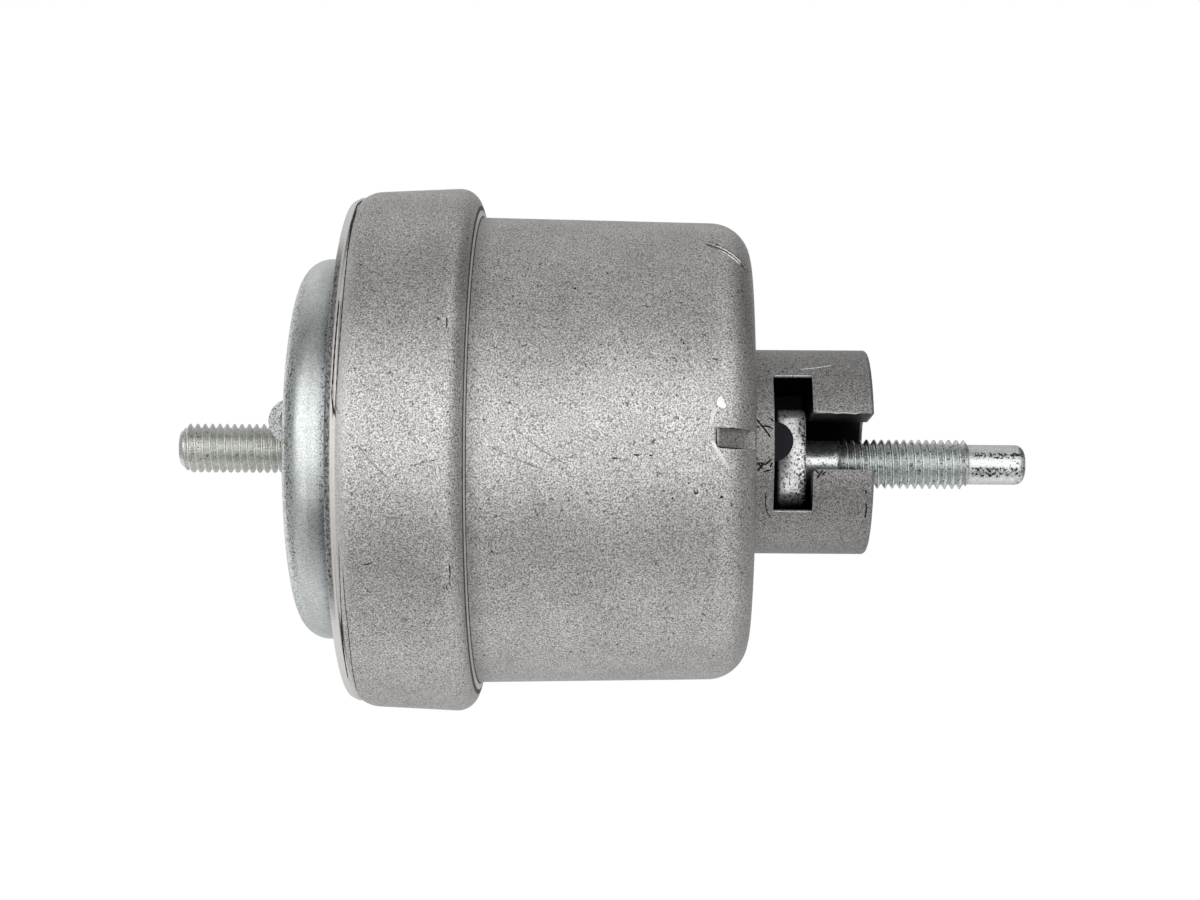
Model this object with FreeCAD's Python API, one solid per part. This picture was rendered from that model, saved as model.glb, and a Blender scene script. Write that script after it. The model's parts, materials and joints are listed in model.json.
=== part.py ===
"""Hydraulic engine mount: crimped aluminium housing, sprung core with a T-slot foot, two studs.

Millimetres. The origin is the centre of the outer seat face of the bottom pan, +Z runs along the
mount's axis towards the foot, and the mouth of the T-slot faces -Y.
"""
import FreeCAD
import Part
import math
import os

# Housing
flange_r = 52.7
flange_draft = 0.9
flange_wall = 3.8
lip_reach = 12.8
lip_z = 10.15
lip_wall = 2.2
lip_inset = 0.75
lip_round = 0.9
seam_inset = 2.0
seam_rise = 2.0
seam_depth = 0.35
seam_half_width = 0.35
seam_blend = 6.0
shoulder_wall = 3.55
shoulder_step = 5.85
shoulder_round = 4.0
shoulder_drop = 1.0
body_length = 54.5
body_draft = 1.1
body_wall = 4.85
body_end_round = 8.0
end_wall = 4.5
bore_round = 4.0
opening_play = 4.05
edge_round = 0.8

# Gate notch and casting rib on the housing's far edge
notch_width = 3.4
notch_length = 7.6
notch_step = 0.45
notch_slope_deg = 35.0
notch_deg = -3.1
rib_height = 0.45
rib_width = 0.8
rib_start = 8.7
rib_stop = 1.0
rib_low_deg = 55.9
rib_high_deg = 48.9

# Bottom pan with its lanced bridge
pan_play = 1.5
pan_sheet = 2.2
pan_corner_r = 5.4
pan_bend_r = 1.0
bridge_height = 5.5
bridge_span = 8.8
bridge_width = 5.0
bridge_wall = 2.1
bridge_distance = 13.9
bridge_turn_deg = 15.9

# Lower stud
stud_r = 5.0
stud_length = 25.6
stud_chamfer = 1.7
stud_head_r = 10.0
stud_head_height = 4.0
stud_shoulder = 0.9

# Stack that the lip clamps against the housing's step
stack_play = 0.3
bead_height = 2.2
bead_cover = 0.4
clamp_ring_height = 1.2
clamp_ring_setback = 1.5
plate_height = 4.8
seal_height = 1.2
seal_width = 6.0
ring_flange_height = 2.4

# Bellows
bellows_wall = 1.8
bellows_root = 3.5
bellows_fold = 7.0
bellows_flank = 15.0
bellows_floor_gap = 4.2
bellows_roof_gap = 4.6

# Channel plates and decoupler
track_width = 7.5
track_rim = 5.1
track_depth = 3.4
track_open_deg = 300.0
track_port_r = 2.6
rivet_r = 1.8
rivet_margin = 6.0
rivet_head_r = 3.0
rivet_head_height = 1.3
rivet_count = 4
cage_margin = 6.0
cage_half_height = 1.9
decoupler_play = 0.35
port_r = 2.2
port_margin = 6.0
port_counts = (1, 6, 12)

# Spring ring, rubber spring and rebound buffer
ring_play = 0.05
ring_wall = 2.6
ring_top_gap = 8.0
spring_foot_gap = 1.5
spring_edge_gap = 1.5
spring_crown_gap = 3.0
spring_hollow_gap = 12.35
spring_hollow_drop = 1.0
bond_gap = 0.1
pad_height = 2.5
bounce_gap = 6.5
rebound_gap = 4.5
buffer_height = 5.2
buffer_overhang = 1.5
buffer_round = 1.6

# Core with the T-slot foot
foot_wall = 7.5
foot_reach = 23.7
foot_round = 0.9
collar_reach = 6.4
collar_height = 5.0
cone_spread = 3.45
core_end_r = 11.0

# T-slot in the foot
slot_width = 26.1
slot_floor = 4.3
slot_height = 7.6
slot_back_play = 0.35
throat_play = 0.5
chamber_play = 2.45
lobe_round = 0.7
slot_chamfer = 0.35

# Rubber nub that keeps the bolt in the slot
nub_r = 3.7
nub_length = 4.0
nub_peg_r = 1.8
nub_peg_depth = 3.0

# T-bolt, which rests on the chamber's wall
bolt_r = 5.0
bolt_shank_step = 0.4
bolt_dog_step = 1.0
bolt_head_side_play = 3.55
bolt_head_end_play = 3.05
bolt_head_height = 6.0
bolt_head_round = 3.0
bolt_neck_length = 6.2
bolt_thread_length = 26.5
bolt_dog_length = 11.4
bolt_tip_round = 1.9
bolt_seat_gap = 0.08
bolt_turn_deg = -4.9
bolt_head_gap = 0.35

# Radii that follow from the sizes above
lip_r = flange_r - lip_reach
seam_r = flange_r - seam_inset
flange_bore_r = flange_r - flange_wall
stack_r = flange_bore_r - stack_play
body_r = flange_r - shoulder_step
body_bore_r = body_r - body_wall
pan_r = lip_r - pan_play
bead_inner_r = lip_r - bead_cover
bellows_root_r = bead_inner_r - bellows_root
bellows_fold_r = bellows_root_r - bellows_fold
bellows_crown_r = bellows_fold_r - bellows_flank
clamp_ring_inner_r = bead_inner_r + clamp_ring_setback
track_outer_r = stack_r - track_rim
track_inner_r = track_outer_r - track_width
rivet_circle_r = track_inner_r - rivet_margin
cage_r = rivet_circle_r - cage_margin
port_pitch = (cage_r - port_margin) / (len(port_counts) - 1)
seal_inner_r = stack_r - seal_width
ring_outer_r = body_bore_r - ring_play
ring_inner_r = ring_outer_r - ring_wall
spring_hollow_r = ring_inner_r - spring_hollow_gap
foot_r = slot_width / 2 + foot_wall
end_opening_r = foot_r + opening_play
collar_r = end_opening_r + collar_reach
buffer_r = collar_r + buffer_overhang
cone_top_r = foot_r + cone_spread
stud_tip_r = stud_r - stud_chamfer
stud_shoulder_r = stud_r + stud_shoulder
chamber_r = bolt_r + chamber_play
throat_width = 2 * (bolt_r + throat_play)
slot_back_y = slot_width / 2 + slot_back_play
bolt_shank_r = bolt_r - bolt_shank_step
bolt_dog_r = bolt_r - bolt_dog_step
bolt_head_width = slot_width - 2 * bolt_head_side_play
bolt_head_length = slot_width - 2 * bolt_head_end_play

# Levels that follow from the sizes above, up the clamped stack and on to the foot
lip_inner_z = lip_z + lip_wall
seam_z = lip_z + seam_rise
bead_z = lip_inner_z + pan_sheet
clamp_ring_z = bead_z + bead_height
lower_plate_z = clamp_ring_z + clamp_ring_height
upper_plate_z = lower_plate_z + plate_height
seal_z = upper_plate_z + plate_height
ring_z = seal_z + seal_height
step_z = ring_z + ring_flange_height
bellows_fold_z = pan_sheet + bellows_floor_gap
bellows_crown_z = lower_plate_z - bellows_roof_gap
shoulder_z = step_z + shoulder_wall
body_end_z = shoulder_z + body_length
bore_end_z = body_end_z - end_wall
collar_top_z = bore_end_z - rebound_gap - buffer_height
collar_z = collar_top_z - collar_height
ring_top_z = collar_z - ring_top_gap
spring_foot_z = step_z + spring_foot_gap
spring_top_z = ring_top_z - spring_edge_gap
spring_crown_z = collar_z - spring_crown_gap
spring_hollow_z = (spring_foot_z + spring_crown_z) / 2 - spring_hollow_drop
pad_z = seal_z + bounce_gap
core_end_z = pad_z + pad_height
notch_start_z = body_end_z - notch_length
rib_low_z = body_end_z - rib_start
rib_high_z = body_end_z - rib_stop
slot_z = body_end_z + slot_floor
slot_top_z = slot_z + slot_height
foot_end_z = body_end_z + foot_reach

AXIS = FreeCAD.Vector(0, 0, 1)
ORIGIN = FreeCAD.Vector(0, 0, 0)
os.makedirs("parts", exist_ok=True)


def save(name, shape):
    """Writes one named piece."""
    shape.exportStep(f"parts/{name}.step")


def point(r, z):
    """A profile point at radius r and height z."""
    return FreeCAD.Vector(r, 0, z)


def rounded_outline(corners):
    """Closed outline through (r, z, round) corners, with a tangent arc at each rounded one."""
    edges = []
    starts, ends = [], []
    for i, (r, z, radius) in enumerate(corners):
        here = point(r, z)
        back = point(*corners[i - 1][:2]) - here
        ahead = point(*corners[(i + 1) % len(corners)][:2]) - here
        if radius <= 0:
            starts.append(here)
            ends.append(here)
            continue
        half = back.getAngle(ahead) / 2
        run = radius / math.tan(half)
        back.normalize()
        ahead.normalize()
        first = here + back * run
        last = here + ahead * run
        middle = back + ahead
        middle.normalize()
        apex = here + middle * (radius / math.sin(half) - radius)
        edges.append((i, Part.Arc(first, apex, last).toShape()))
        starts.append(first)
        ends.append(last)
    arcs = dict(edges)
    path = []
    for i in range(len(corners)):
        if i in arcs:
            path.append(arcs[i])
        nxt = starts[(i + 1) % len(corners)]
        if ends[i].distanceToPoint(nxt) > 1e-6:
            path.append(Part.LineSegment(ends[i], nxt).toShape())
    return Part.Wire(path)


def turned(corners):
    """Solid of revolution about the mount's axis."""
    face = Part.Face(rounded_outline(corners))
    return face.revolve(ORIGIN, AXIS, 360)


def rod(radius, height, at, direction=AXIS):
    return Part.makeCylinder(radius, height, at, direction)


def tube(outer_r, inner_r, z, height):
    return turned([(inner_r, z, 0), (outer_r, z, 0), (outer_r, z + height, 0),
                   (inner_r, z + height, 0)])


def block(x0, x1, y0, y1, z0, z1):
    return Part.makeBox(x1 - x0, y1 - y0, z1 - z0, FreeCAD.Vector(x0, y0, z0))


def on_circle(radius, angle_deg, z):
    """Point at an angle from -Y, counted towards -X."""
    turn = math.radians(angle_deg)
    return FreeCAD.Vector(-radius * math.sin(turn), -radius * math.cos(turn), z)


def housing_profile():
    """Section of the housing, from the rolled lip to the opening for the foot."""
    taper = flange_draft / (shoulder_z - seam_z)
    seam_in = seam_r - seam_depth
    return [
        (lip_r, lip_z, edge_round),
        (seam_r - lip_inset, lip_z, lip_round),
        (seam_r - taper * seam_half_width, seam_z - seam_half_width, 0),
        (seam_in, seam_z, 0),
        (seam_r + taper * seam_half_width, seam_z + seam_half_width, 0),
        (flange_r - flange_draft, seam_z + seam_rise, seam_blend),
        (flange_r, shoulder_z, shoulder_round),
        (body_r, shoulder_z + shoulder_drop, edge_round / 2),
        (body_r - body_draft, body_end_z, body_end_round),
        (end_opening_r, body_end_z, edge_round * 2),
        (end_opening_r, bore_end_z, edge_round),
        (body_bore_r, bore_end_z, bore_round),
        (body_bore_r, step_z, 0),
        (flange_bore_r, step_z, 0),
        (flange_bore_r, lip_inner_z, 0),
        (lip_r, lip_inner_z, edge_round),
    ]


def gate_notch():
    """Sloping cut across the housing's rounded end, where the casting gate was broken off."""
    reach = 2 * (body_end_z - notch_start_z)
    floor_r = body_r - body_draft - notch_step
    cut = block(-notch_width / 2, notch_width / 2, -floor_r - reach, -floor_r,
                notch_start_z, notch_start_z + reach)
    cut.rotate(FreeCAD.Vector(0, -floor_r, notch_start_z), FreeCAD.Vector(1, 0, 0),
               -notch_slope_deg)
    cut.rotate(ORIGIN, AXIS, -notch_deg)
    return cut


def end_surface_r(z):
    """Outer radius of the housing near its rounded end."""
    side = body_r - body_draft
    over = max(0, z - (body_end_z - body_end_round))
    return side - body_end_round + math.sqrt(body_end_round ** 2 - over ** 2)


def casting_rib():
    """Low oblique rib across the rounded end: a thin slab kept to just outside the surface."""
    low = on_circle(end_surface_r(rib_low_z), rib_low_deg, rib_low_z)
    high = on_circle(end_surface_r(rib_high_z), rib_high_deg, rib_high_z)
    run = high - low
    outward = on_circle(1, (rib_low_deg + rib_high_deg) / 2, 0)
    across = run.cross(outward)
    depth = 2 * end_wall
    slab = block(0, run.Length, -depth / 2, depth / 2, -rib_width / 2, rib_width / 2)
    slab.Placement = FreeCAD.Placement(low, FreeCAD.Rotation(run, ORIGIN, across, "XZY"))
    side = body_r - body_draft + rib_height
    top = body_end_z + rib_height
    proud = turned([(end_opening_r, step_z, 0), (side, step_z, 0),
                    (side, top, body_end_round + rib_height), (end_opening_r, top, 0)])
    hollow = turned([(end_opening_r, step_z, 0), (body_bore_r, step_z, 0),
                     (body_bore_r, bore_end_z, bore_round),
                     (end_opening_r, bore_end_z, 0)])
    return slab.common(proud).cut(hollow)


def housing():
    shape = turned(housing_profile())
    shape = shape.cut(gate_notch())
    return shape.fuse(casting_rib()).removeSplitter()


def pan_profile():
    flange_low = lip_inner_z
    return [
        (stud_shoulder_r + ring_play, 0, 0),
        (pan_r, 0, pan_corner_r),
        (pan_r, flange_low, pan_bend_r),
        (stack_r, flange_low, 0),
        (stack_r, flange_low + pan_sheet, 0),
        (pan_r - pan_sheet, flange_low + pan_sheet, pan_bend_r + pan_sheet),
        (pan_r - pan_sheet, pan_sheet, pan_corner_r - pan_sheet),
        (stud_shoulder_r + ring_play, pan_sheet, 0),
    ]


def bridge_arc(radius, top):
    """Half circle over the bridge's span, and the points where it meets the upright legs."""
    left = FreeCAD.Vector(-radius, 0, top + radius)
    right = FreeCAD.Vector(radius, 0, top + radius)
    return Part.Arc(left, FreeCAD.Vector(0, 0, top), right).toShape(), left, right


def lanced_bridge():
    """Half-round bridge pressed out of the pan's face, open at both of its long sides."""
    over, over_left, over_right = bridge_arc(bridge_span / 2, -bridge_height)
    under, under_left, under_right = bridge_arc(bridge_span / 2 - bridge_wall,
                                                bridge_wall - bridge_height)
    feet = [FreeCAD.Vector(spot.x, 0, pan_sheet) for spot in
            (over_left, over_right, under_right, under_left)]
    section = Part.Wire([
        over,
        Part.LineSegment(over_right, feet[1]).toShape(),
        Part.LineSegment(feet[1], feet[2]).toShape(),
        Part.LineSegment(feet[2], under_right).toShape(),
        under,
        Part.LineSegment(under_left, feet[3]).toShape(),
        Part.LineSegment(feet[3], feet[0]).toShape(),
        Part.LineSegment(feet[0], over_left).toShape()])
    shape = Part.Face(section).extrude(FreeCAD.Vector(0, bridge_width, 0))
    shape.translate(on_circle(bridge_distance, bridge_turn_deg, 0)
                    - FreeCAD.Vector(0, bridge_width / 2, 0))
    return shape


def bridge_window():
    """Opening that the pressed-out bridge leaves in the pan."""
    inner = bridge_span / 2 - bridge_wall
    half = bridge_width / 2
    shape = block(-inner, inner, -half, half, -pan_sheet, 2 * pan_sheet)
    shape.translate(on_circle(bridge_distance, bridge_turn_deg, 0))
    return shape


def cover_pan():
    shape = turned(pan_profile()).cut(bridge_window())
    return shape.fuse(lanced_bridge()).removeSplitter()


def cover_stud():
    """Screw stud, its shoulder pressed through the pan and its head against the inside."""
    return turned([
        (0, -stud_length, 0),
        (stud_tip_r, -stud_length, 0),
        (stud_r, -stud_length + stud_chamfer, 0),
        (stud_r, 0, 0),
        (stud_shoulder_r, 0, 0),
        (stud_shoulder_r, pan_sheet, 0),
        (stud_head_r, pan_sheet, 0),
        (stud_head_r, pan_sheet + stud_head_height, edge_round),
        (0, pan_sheet + stud_head_height, 0),
    ])


def bellows():
    """Rubber diaphragm with one rolled fold under the channel plates."""
    wall = bellows_wall
    mid = bead_z + bead_height
    return turned([
        (stack_r, bead_z, 0),
        (stack_r, mid, 0),
        (bead_inner_r, mid, 0),
        (bellows_root_r, mid, wall),
        (bellows_fold_r + wall / 2, bellows_fold_z + wall, 3 * wall),
        (bellows_crown_r, bellows_crown_z + wall, 2 * wall),
        (0, bellows_crown_z + wall, 0),
        (0, bellows_crown_z, 0),
        (bellows_crown_r, bellows_crown_z, wall),
        (bellows_fold_r, bellows_fold_z, 2 * wall),
        (bellows_root_r - wall, bead_z + 0.3, wall / 2),
        (bead_inner_r, bead_z, 0),
    ])


def plate_ports(z):
    """Round ports that the decoupler covers."""
    holes = []
    for ring, count in enumerate(port_counts):
        for k in range(count):
            spot = on_circle(ring * port_pitch, 360 * k / count, z)
            holes.append(rod(port_r, plate_height, spot))
    return holes


def rivet_spots(z):
    return [on_circle(rivet_circle_r, 360 * (k + 0.5) / rivet_count, z)
            for k in range(rivet_count)]


def rivet_holes(z):
    return [rod(rivet_r, plate_height, spot) for spot in rivet_spots(z)]


def inertia_track():
    """Open channel round the lower plate, one long turn with its ends apart."""
    floor_z = upper_plate_z - track_depth
    section = Part.makePolygon([
        point(track_inner_r, floor_z), point(track_outer_r, floor_z),
        point(track_outer_r, upper_plate_z), point(track_inner_r, upper_plate_z),
        point(track_inner_r, floor_z)])
    return Part.Face(section).revolve(ORIGIN, AXIS, track_open_deg)


def track_spot(angle_deg, z):
    """Point over the middle of the track, at an angle from its start on +X."""
    middle_r = (track_inner_r + track_outer_r) / 2
    turn = math.radians(angle_deg)
    return FreeCAD.Vector(middle_r * math.cos(turn), middle_r * math.sin(turn), z)


def channel_plate_lower():
    plate = rod(stack_r, plate_height, FreeCAD.Vector(0, 0, lower_plate_z))
    recess = rod(cage_r, cage_half_height, FreeCAD.Vector(0, 0, upper_plate_z - cage_half_height))
    port_turn = math.degrees(track_port_r / track_inner_r)
    inlet = rod(track_port_r, plate_height, track_spot(port_turn, lower_plate_z))
    cuts = [recess, inertia_track(), inlet] + plate_ports(lower_plate_z) + rivet_holes(lower_plate_z)
    return plate.cut(cuts)


def channel_plate_upper():
    plate = rod(stack_r, plate_height, FreeCAD.Vector(0, 0, upper_plate_z))
    recess = rod(cage_r, cage_half_height, FreeCAD.Vector(0, 0, upper_plate_z))
    port_turn = math.degrees(track_port_r / track_inner_r)
    outlet = rod(track_port_r, plate_height, track_spot(track_open_deg - port_turn, upper_plate_z))
    cuts = [recess, outlet] + plate_ports(upper_plate_z) + rivet_holes(upper_plate_z)
    return plate.cut(cuts)


def plate_rivets():
    """Rivets that hold the two channel plates together."""
    shapes = []
    for spot in rivet_spots(lower_plate_z):
        shank = rod(rivet_r - ring_play, 2 * plate_height, spot)
        low = rod(rivet_head_r, rivet_head_height, spot - AXIS * rivet_head_height)
        high = rod(rivet_head_r, rivet_head_height, spot + AXIS * 2 * plate_height)
        shapes.append(shank.fuse([low, high]).removeSplitter())
    return Part.makeCompound(shapes)


def decoupler_disc():
    """Loose rubber disc in the cage between the channel plates."""
    half = cage_half_height - decoupler_play
    low = FreeCAD.Vector(0, 0, upper_plate_z - half)
    return rod(cage_r - decoupler_play, 2 * half, low)


def spring_ring():
    return turned([
        (ring_inner_r, ring_z, 0),
        (stack_r, ring_z, 0),
        (stack_r, step_z, 0),
        (ring_outer_r, step_z, 0),
        (ring_outer_r, ring_top_z, edge_round),
        (ring_inner_r, ring_top_z, edge_round),
    ])


def cone_r(z):
    """Radius of the core's cone at a height."""
    share = (z - core_end_z) / (collar_z - core_end_z)
    return core_end_r + (cone_top_r - core_end_r) * share


def main_spring():
    """Thick rubber cone between the core and its ring, with the pad under the core's end."""
    return turned([
        (0, pad_z, 0),
        (core_end_r, pad_z, edge_round),
        (spring_hollow_r, spring_hollow_z, bore_round * 2),
        (ring_inner_r, spring_foot_z, 0),
        (ring_inner_r, spring_top_z, 0),
        (ring_inner_r - ring_wall * 2, spring_top_z - 2, bore_round),
        (cone_r(spring_crown_z) + bond_gap, spring_crown_z, 0),
        (core_end_r + bond_gap, core_end_z - bond_gap, 0),
        (0, core_end_z - bond_gap, 0),
    ])


def t_slot():
    """T-shaped slot open towards -Y and through the foot's end, with a round chamber behind."""
    half = slot_width / 2
    reach = 2 * foot_r
    head_way = block(-half, half, -reach, slot_back_y, slot_z, slot_top_z)
    neck_way = block(-throat_width / 2, throat_width / 2, -reach, 0, slot_z, foot_end_z + 1)
    chamber = rod(chamber_r, foot_end_z + 1 - slot_top_z, FreeCAD.Vector(0, 0, slot_top_z))
    return head_way.fuse([neck_way, chamber])


def lobe_edges(shape):
    """The two inner corners where the throat meets the head's way."""
    found = []
    for edge in shape.Edges:
        middle = edge.BoundBox.Center
        flat = edge.BoundBox.XLength < 0.01 and edge.BoundBox.ZLength < 0.01
        at_throat = abs(abs(middle.x) - throat_width / 2) < 0.01
        if flat and at_throat and abs(middle.z - slot_top_z) < 0.01 and middle.y < 0:
            found.append(edge)
    return found


def slot_rims(shape):
    """The two straight rims where the head's way comes out of the round foot."""
    found = []
    for edge in shape.Edges:
        middle = edge.BoundBox.Center
        upright = edge.BoundBox.XLength < 0.01 and edge.BoundBox.YLength < 0.01
        at_side = abs(abs(middle.x) - slot_width / 2) < 0.01
        if upright and at_side and slot_z < middle.z < slot_top_z and middle.y < 0:
            found.append(edge)
    return found


def inner_core():
    shape = turned([
        (0, core_end_z, 0),
        (core_end_r, core_end_z, 0),
        (cone_top_r, collar_z, 0),
        (collar_r, collar_z, edge_round),
        (collar_r, collar_top_z, edge_round),
        (foot_r, collar_top_z, 0),
        (foot_r, foot_end_z, foot_round),
        (0, foot_end_z, 0),
    ])
    shape = shape.cut(t_slot())
    shape = shape.makeFillet(lobe_round, lobe_edges(shape))
    shape = shape.makeChamfer(slot_chamfer, slot_rims(shape))
    peg = rod(nub_peg_r, nub_peg_depth, nub_peg_spot() - AXIS * nub_peg_depth)
    return shape.cut(peg)


def nub_front_y():
    """Where the slot's floor comes out of the round foot."""
    return -math.sqrt(foot_r ** 2 - nub_r ** 2)


def nub_peg_spot():
    return FreeCAD.Vector(0, nub_front_y() + nub_length / 2, slot_z)


def bolt_retainer():
    """Half-round rubber nub on the slot's floor, held by a peg in the core."""
    start = FreeCAD.Vector(0, nub_front_y(), slot_z)
    barrel = rod(nub_r, nub_length, start, FreeCAD.Vector(0, 1, 0))
    above = block(-nub_r, nub_r, -2 * foot_r, 0, slot_z, slot_z + nub_r)
    peg = rod(nub_peg_r, nub_peg_depth, nub_peg_spot() - AXIS * nub_peg_depth)
    return barrel.common(above).fuse(peg).removeSplitter()


def rebound_buffer():
    """Rubber ring on the collar, which meets the housing's end wall when the core is pulled out."""
    return turned([
        (foot_r, collar_top_z, 0),
        (collar_r - edge_round, collar_top_z, 0),
        (buffer_r - edge_round, collar_top_z + edge_round, edge_round),
        (collar_r - buffer_round, collar_top_z + buffer_height, buffer_round),
        (foot_r, collar_top_z + buffer_height, 0),
    ])


def t_bolt():
    """T-headed bolt with a dog point, dropped sideways until its shank lies on the chamber."""
    head_z = slot_top_z - bolt_head_height - bolt_head_gap
    head = block(-bolt_head_width / 2, bolt_head_width / 2, -bolt_head_length / 2,
                 bolt_head_length / 2, head_z, head_z + bolt_head_height)
    upright = [e for e in head.Edges if e.BoundBox.ZLength > bolt_head_height / 2]
    head = head.makeFillet(bolt_head_round, upright)
    neck_z = head_z + bolt_head_height
    thread_z = neck_z + bolt_neck_length
    dog_z = thread_z + bolt_thread_length
    tip_z = dog_z + bolt_dog_length
    shank = turned([
        (0, neck_z, 0),
        (bolt_shank_r, neck_z, 0),
        (bolt_shank_r, thread_z, 0),
        (bolt_r, thread_z + (bolt_r - bolt_shank_r), 0),
        (bolt_r, dog_z - (bolt_r - bolt_dog_r) / 2, 0),
        (bolt_dog_r, dog_z, 0),
        (bolt_dog_r, tip_z, bolt_tip_round),
        (0, tip_z, 0),
    ])
    bolt = head.fuse(shank).removeSplitter()
    bolt.rotate(ORIGIN, AXIS, bolt_turn_deg)
    bolt.translate(FreeCAD.Vector(chamber_r - bolt_r - bolt_seat_gap, 0, 0))
    return bolt


save("housing", housing())
save("cover_pan", cover_pan())
save("cover_stud", cover_stud())
save("bellows", bellows())
save("bellows_ring", tube(stack_r, clamp_ring_inner_r, clamp_ring_z, clamp_ring_height))
save("channel_plate_lower", channel_plate_lower())
save("channel_plate_upper", channel_plate_upper())
save("plate_rivets", plate_rivets())
save("decoupler_disc", decoupler_disc())
save("seal_ring", tube(stack_r, seal_inner_r, seal_z, ring_z - seal_z))
save("spring_ring", spring_ring())
save("main_spring", main_spring())
save("rebound_buffer", rebound_buffer())
save("inner_core", inner_core())
save("bolt_retainer", bolt_retainer())
save("t_bolt", t_bolt())
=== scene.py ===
"""Looks of the hydraulic engine mount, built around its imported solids.

Metres in Blender; sizes below are millimetres. Z runs along the mount's axis towards the foot.
Angles round the mount count from -Y towards -X.
"""
import json
import math

import bmesh
import bpy
import numpy as np
from mathutils import Matrix, Vector
from mathutils.bvhtree import BVHTree


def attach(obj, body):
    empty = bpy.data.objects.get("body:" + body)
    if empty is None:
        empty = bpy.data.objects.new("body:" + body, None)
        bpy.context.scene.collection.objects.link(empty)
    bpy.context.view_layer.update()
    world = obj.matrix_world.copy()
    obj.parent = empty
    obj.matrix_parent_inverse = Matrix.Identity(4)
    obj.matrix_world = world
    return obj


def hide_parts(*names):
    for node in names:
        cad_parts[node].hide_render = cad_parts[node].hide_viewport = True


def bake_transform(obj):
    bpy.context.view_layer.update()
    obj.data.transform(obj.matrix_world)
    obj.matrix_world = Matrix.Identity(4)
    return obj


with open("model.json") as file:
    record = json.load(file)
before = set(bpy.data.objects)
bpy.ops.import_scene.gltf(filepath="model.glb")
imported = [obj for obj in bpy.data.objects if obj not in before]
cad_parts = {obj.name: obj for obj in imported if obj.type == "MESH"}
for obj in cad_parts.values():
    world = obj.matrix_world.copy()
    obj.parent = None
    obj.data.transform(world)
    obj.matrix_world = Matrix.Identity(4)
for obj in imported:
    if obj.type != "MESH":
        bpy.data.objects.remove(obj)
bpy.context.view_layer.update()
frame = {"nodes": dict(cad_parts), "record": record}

MM = 0.001

# Photograph: where the mount's axis and seat face lie in it, and its perspective
IMAGE_WIDTH = 1200
PIXEL = 0.2025 * MM
SEAT_X = 306.8
CENTRE_X = 600.0
EYE_X = 645.0
EYE_DISTANCE = 2280 * PIXEL
AXIS_DROP = 0.6 * PIXEL
ROLL_DEG = 6.1
TILT_DEG = 0.37

# Threads, M10 x 1.5
PITCH = 1.5
CREST_R = 4.97
ROOT_R = 4.1

# Lower stud
STUD_TIP = -25.6
STUD_TIP_R = 3.3
STUD_HEAD = ((0, 6.2), (9.3, 6.2), (9.8, 5.9), (10, 5.4), (10, 2.2), (5.9, 2.2), (5.9, 0.02), (4.3, 0.02),
             (4.3, -0.6), (0, -0.6))

# T-bolt, with its levels from the slot's floor to the dog's tip
BOLT_SHIFT = 2.37
BOLT_TURN_DEG = -4.9
HEAD_HALF_X = 9.5
HEAD_HALF_Y = 10.0
HEAD_Z = (94.75, 100.75)
HEAD_CORNER = 3.0
HEAD_FALL = 0.055
SHANK_R = 4.6
THREAD_Z = (106.95, 133.45)
DOG_R = 4.0
DOG_TIP = 144.85
DOG_ROUND = 1.9
# Specks crowded in stripes along the dog as painted dark reflection: place across and half width
DOG_STRIPES = ((0.95, 0.9), (4.15, 1.3))

# Foot of the core
FOOT_R = 20.55
FOOT_FACE_Z = 112.9

# Painted highlights and painted shade on the housing: each pair goes from none of it to all of it
# The lip's painted highlight and dark edge cover only the front and the back; its lowest band is painted
# bright all round
FRONT_X = (38, 28)
LIP_GLOW_Z = (15.4, 12.2)
LIP_BRIGHT_Z = (12.9, 12.1)
LIP_UNDERSIDE_Z = (11.6, 11.2)
LIP_UNDERSIDE_R = (49.0, 49.5)
CORNER_SHADE_Z = ((39.5, 35.5), (35.2, 35.5))
NOTCH_Z = ((81.0, 81.25), (89.5, 86.0))
NOTCH_X = ((0.3, 0.6), (4.3, 4.0))
BODY_END_Z = (84.8, 86.8)

# Painted shade on the pan, and where its specks crowd, in the same way
PAN_RIM_Z = (6.6, 8.6)
PAN_CORNER_Z = ((3.6, 1.8), (0.05, 0.4))
PAN_BRIDGE_Z = (-0.05, -0.4)
PAN_SIDES_X = (8, 16)
PAN_SIDES_Z = (4.5, 8)

# Rubber spring, as a section from the core's cone out to its ring
SPRING_SECTION = ((11.15, 36.5), (11.2, 35.2), (12.6, 35.0), (18, 40.6), (24.6, 46.6), (27, 47.4),
                  (29.4, 45.8), (34, 39.6), (39.3, 32.7), (39.3, 60.4), (34.4, 58.7), (30.5, 61.2),
                  (22.95, 66.95))
SPRING_SECTORS = 12
SPRING_STEP = 3.0
PAD_R = 11.0
PAD_Z = (34.1, 36.5)


def camera_axes():
    """Unit vectors from the mount towards the eye and up in the picture."""
    roll = math.radians(ROLL_DEG)
    to_eye = Vector((math.sin(roll), -math.cos(roll), 0))
    up = Vector((-math.cos(roll), -math.sin(roll), 0))
    return to_eye, up


def set_axes(thing, right, top, back, place):
    for i in range(3):
        for j, vector in enumerate((right, top, back, place)):
            thing.matrix_world[i][j] = vector[i]


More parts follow.
